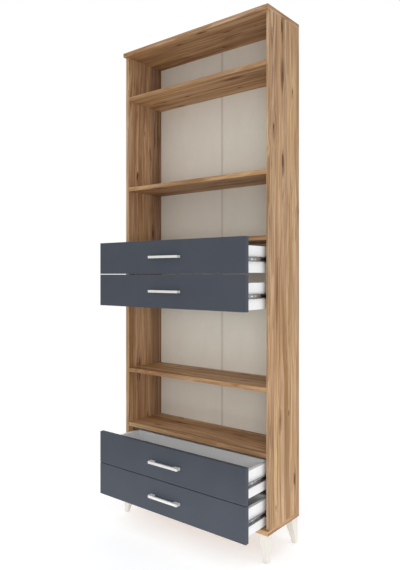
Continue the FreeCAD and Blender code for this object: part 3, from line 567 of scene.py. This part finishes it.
def add_rail_screws():
    """Flush screws hold the outer rails to the case, and low round heads the inner rails to the drawers."""
    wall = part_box("right_side_panel")[LOW][X]
    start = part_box("outer_rails")[LOW][Y]
    flush = []
    for number in DRAWERS:
        inner_low, inner_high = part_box(f"drawer_{number}_inner_rails")
        level = (inner_low[Z] + inner_high[Z]) / 2
        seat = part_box(f"drawer_{number}_right_side")[HIGH][X] + RAIL_WALL
        round_heads = []
        for sign in (LEFT, RIGHT):
            flush += [((sign * wall, start + step, level), (-sign, 0, 0)) for step in RAIL_SCREWS]
            round_heads += [((sign * seat, inner_low[Y] + step, level), (sign, 0, 0)) for step in RAIL_SCREWS]
        screw = cross_screw(head_radius=0.0034, head_height=0.0014, seat_radius=0.0034, length=0.012)
        set_out(f"drawer_{number}_rail_screws", screw, round_heads, f"drawer_{number}")
    screw = cross_screw(head_radius=0.0027, head_height=0.00095, seat_radius=0.0022, length=0.014)
    set_out("outer_rail_screws", screw, flush, "case")


add_back_nails()
add_rail_screws()


# Floor, light and camera

FLOOR_REACH = 4.0
FLOOR_FADE = (0.5, 1.5)
FLOOR_ROUGHNESS = 0.7
FLOOR_GLOW = 0.36
PAPER_WHITE = 1.0
SURROUND_LIGHT = 0.84

# The photograph's frame, its focal length and the point that the camera looks at, in pixels
FRAME_WIDTH, FRAME_HEIGHT = 400, 570
FOCUS = 569.6
MIDDLE_COLUMN, MIDDLE_ROW = 189.7, 274.505
SENSOR_WIDTH = 36.0
CAMERA_PLACE = (1.5661, -1.9365, 1.1272)
CAMERA_LEVEL = math.radians(90)
CAMERA_TURN = math.radians(39.41)


def floor_material():
    """Pale studio floor that fades out with the distance from the part."""
    s = Shader("studio_floor")
    place = s.place()
    colour = s.clouds(s.noise(place, (3, 3, 3)), tone(245, 247, 249), tone(247, 249, 251))
    others = {"Emission Strength": FLOOR_GLOW, "Emission Color": WHITE}
    surface = s.surface(colour, FLOOR_ROUGHNESS, others)
    clear = s.add("ShaderNodeBsdfTransparent").outputs[0]
    distance = s.vectors("LENGTH", {0: place})["Value"]
    sockets = {0: s.band(distance, *FLOOR_FADE), 1: surface, 2: clear}
    return s.finish(s.add("ShaderNodeMixShader", sockets).outputs[0])


def add_floor():
    """A square floor under the part."""
    mesh = bpy.data.meshes.new("floor")
    corners = [(-1, -1), (1, -1), (1, 1), (-1, 1)]
    mesh.from_pydata([(FLOOR_REACH * x, FLOOR_REACH * y, 0) for x, y in corners], [], [(0, 1, 2, 3)])
    floor = bpy.data.objects.new("floor", mesh)
    floor.data.materials.append(floor_material())
    bpy.context.scene.collection.objects.link(floor)


def add_light(name, place, target, size, power, beam=180):
    """A soft panel light; beam is the angle in degrees that its light fills."""
    light = bpy.data.lights.new(name, "AREA")
    light.shape = "RECTANGLE"
    light.size, light.size_y = size
    light.energy = power
    light.spread = math.radians(beam)
    lamp = bpy.data.objects.new(name, light)
    lamp.location = place
    lamp.rotation_euler = (Vector(target) - Vector(place)).to_track_quat("-Z", "Y").to_euler()
    lamp.visible_camera = False
    bpy.context.scene.collection.objects.link(lamp)


def add_world():
    """An even white surround: the camera sees it as paper white, and it lights the part a little less."""
    world = bpy.data.worlds.new("studio")
    world.use_nodes = True
    tree = world.node_tree
    tree.nodes.clear()
    path = tree.nodes.new("ShaderNodeLightPath")
    level = tree.nodes.new("ShaderNodeMapRange")
    level.inputs["To Min"].default_value = SURROUND_LIGHT
    level.inputs["To Max"].default_value = PAPER_WHITE
    tree.links.new(path.outputs["Is Camera Ray"], level.inputs["Value"])
    background = tree.nodes.new("ShaderNodeBackground")
    background.inputs["Color"].default_value = WHITE
    tree.links.new(level.outputs["Result"], background.inputs["Strength"])
    output = tree.nodes.new("ShaderNodeOutputWorld")
    tree.links.new(background.outputs[0], output.inputs["Surface"])
    bpy.context.scene.world = world


def add_camera():
    """A level camera at the photograph's place, in front of the part and to its right."""
    data = bpy.data.cameras.new("camera")
    data.sensor_width = SENSOR_WIDTH
    data.lens = FOCUS / FRAME_HEIGHT * SENSOR_WIDTH
    data.shift_x = (FRAME_WIDTH / 2 - MIDDLE_COLUMN) / FRAME_HEIGHT
    data.shift_y = (MIDDLE_ROW - FRAME_HEIGHT / 2) / FRAME_HEIGHT
    camera = bpy.data.objects.new("camera", data)
    camera.location = CAMERA_PLACE
    camera.rotation_euler = (CAMERA_LEVEL, 0.0, CAMERA_TURN)
    bpy.context.scene.collection.objects.link(camera)
    bpy.context.scene.camera = camera


add_floor()
add_world()
add_light("camera_panel", place=(1.80, -2.25, 1.10), target=(0.0, 0.0, 0.95), size=(1.2, 0.6), power=17.5)
add_light("low_panel", place=(0.1, -1.3, 0.17), target=(0.0, -0.2, 0.17), size=(1.4, 0.12), power=0.45,
          beam=32)
add_light("mid_panel", place=(0.6, -1.6, 0.82), target=(0.0, 0.1, 0.80), size=(1.2, 0.10), power=0.11,
          beam=20)
add_light("right_panel", place=(2.2, 0.5, 0.35), target=(0.4, 0.1, 0.45), size=(1.2, 0.5), power=7.5)
add_camera()
bpy.context.scene.view_settings.view_transform = "Standard"
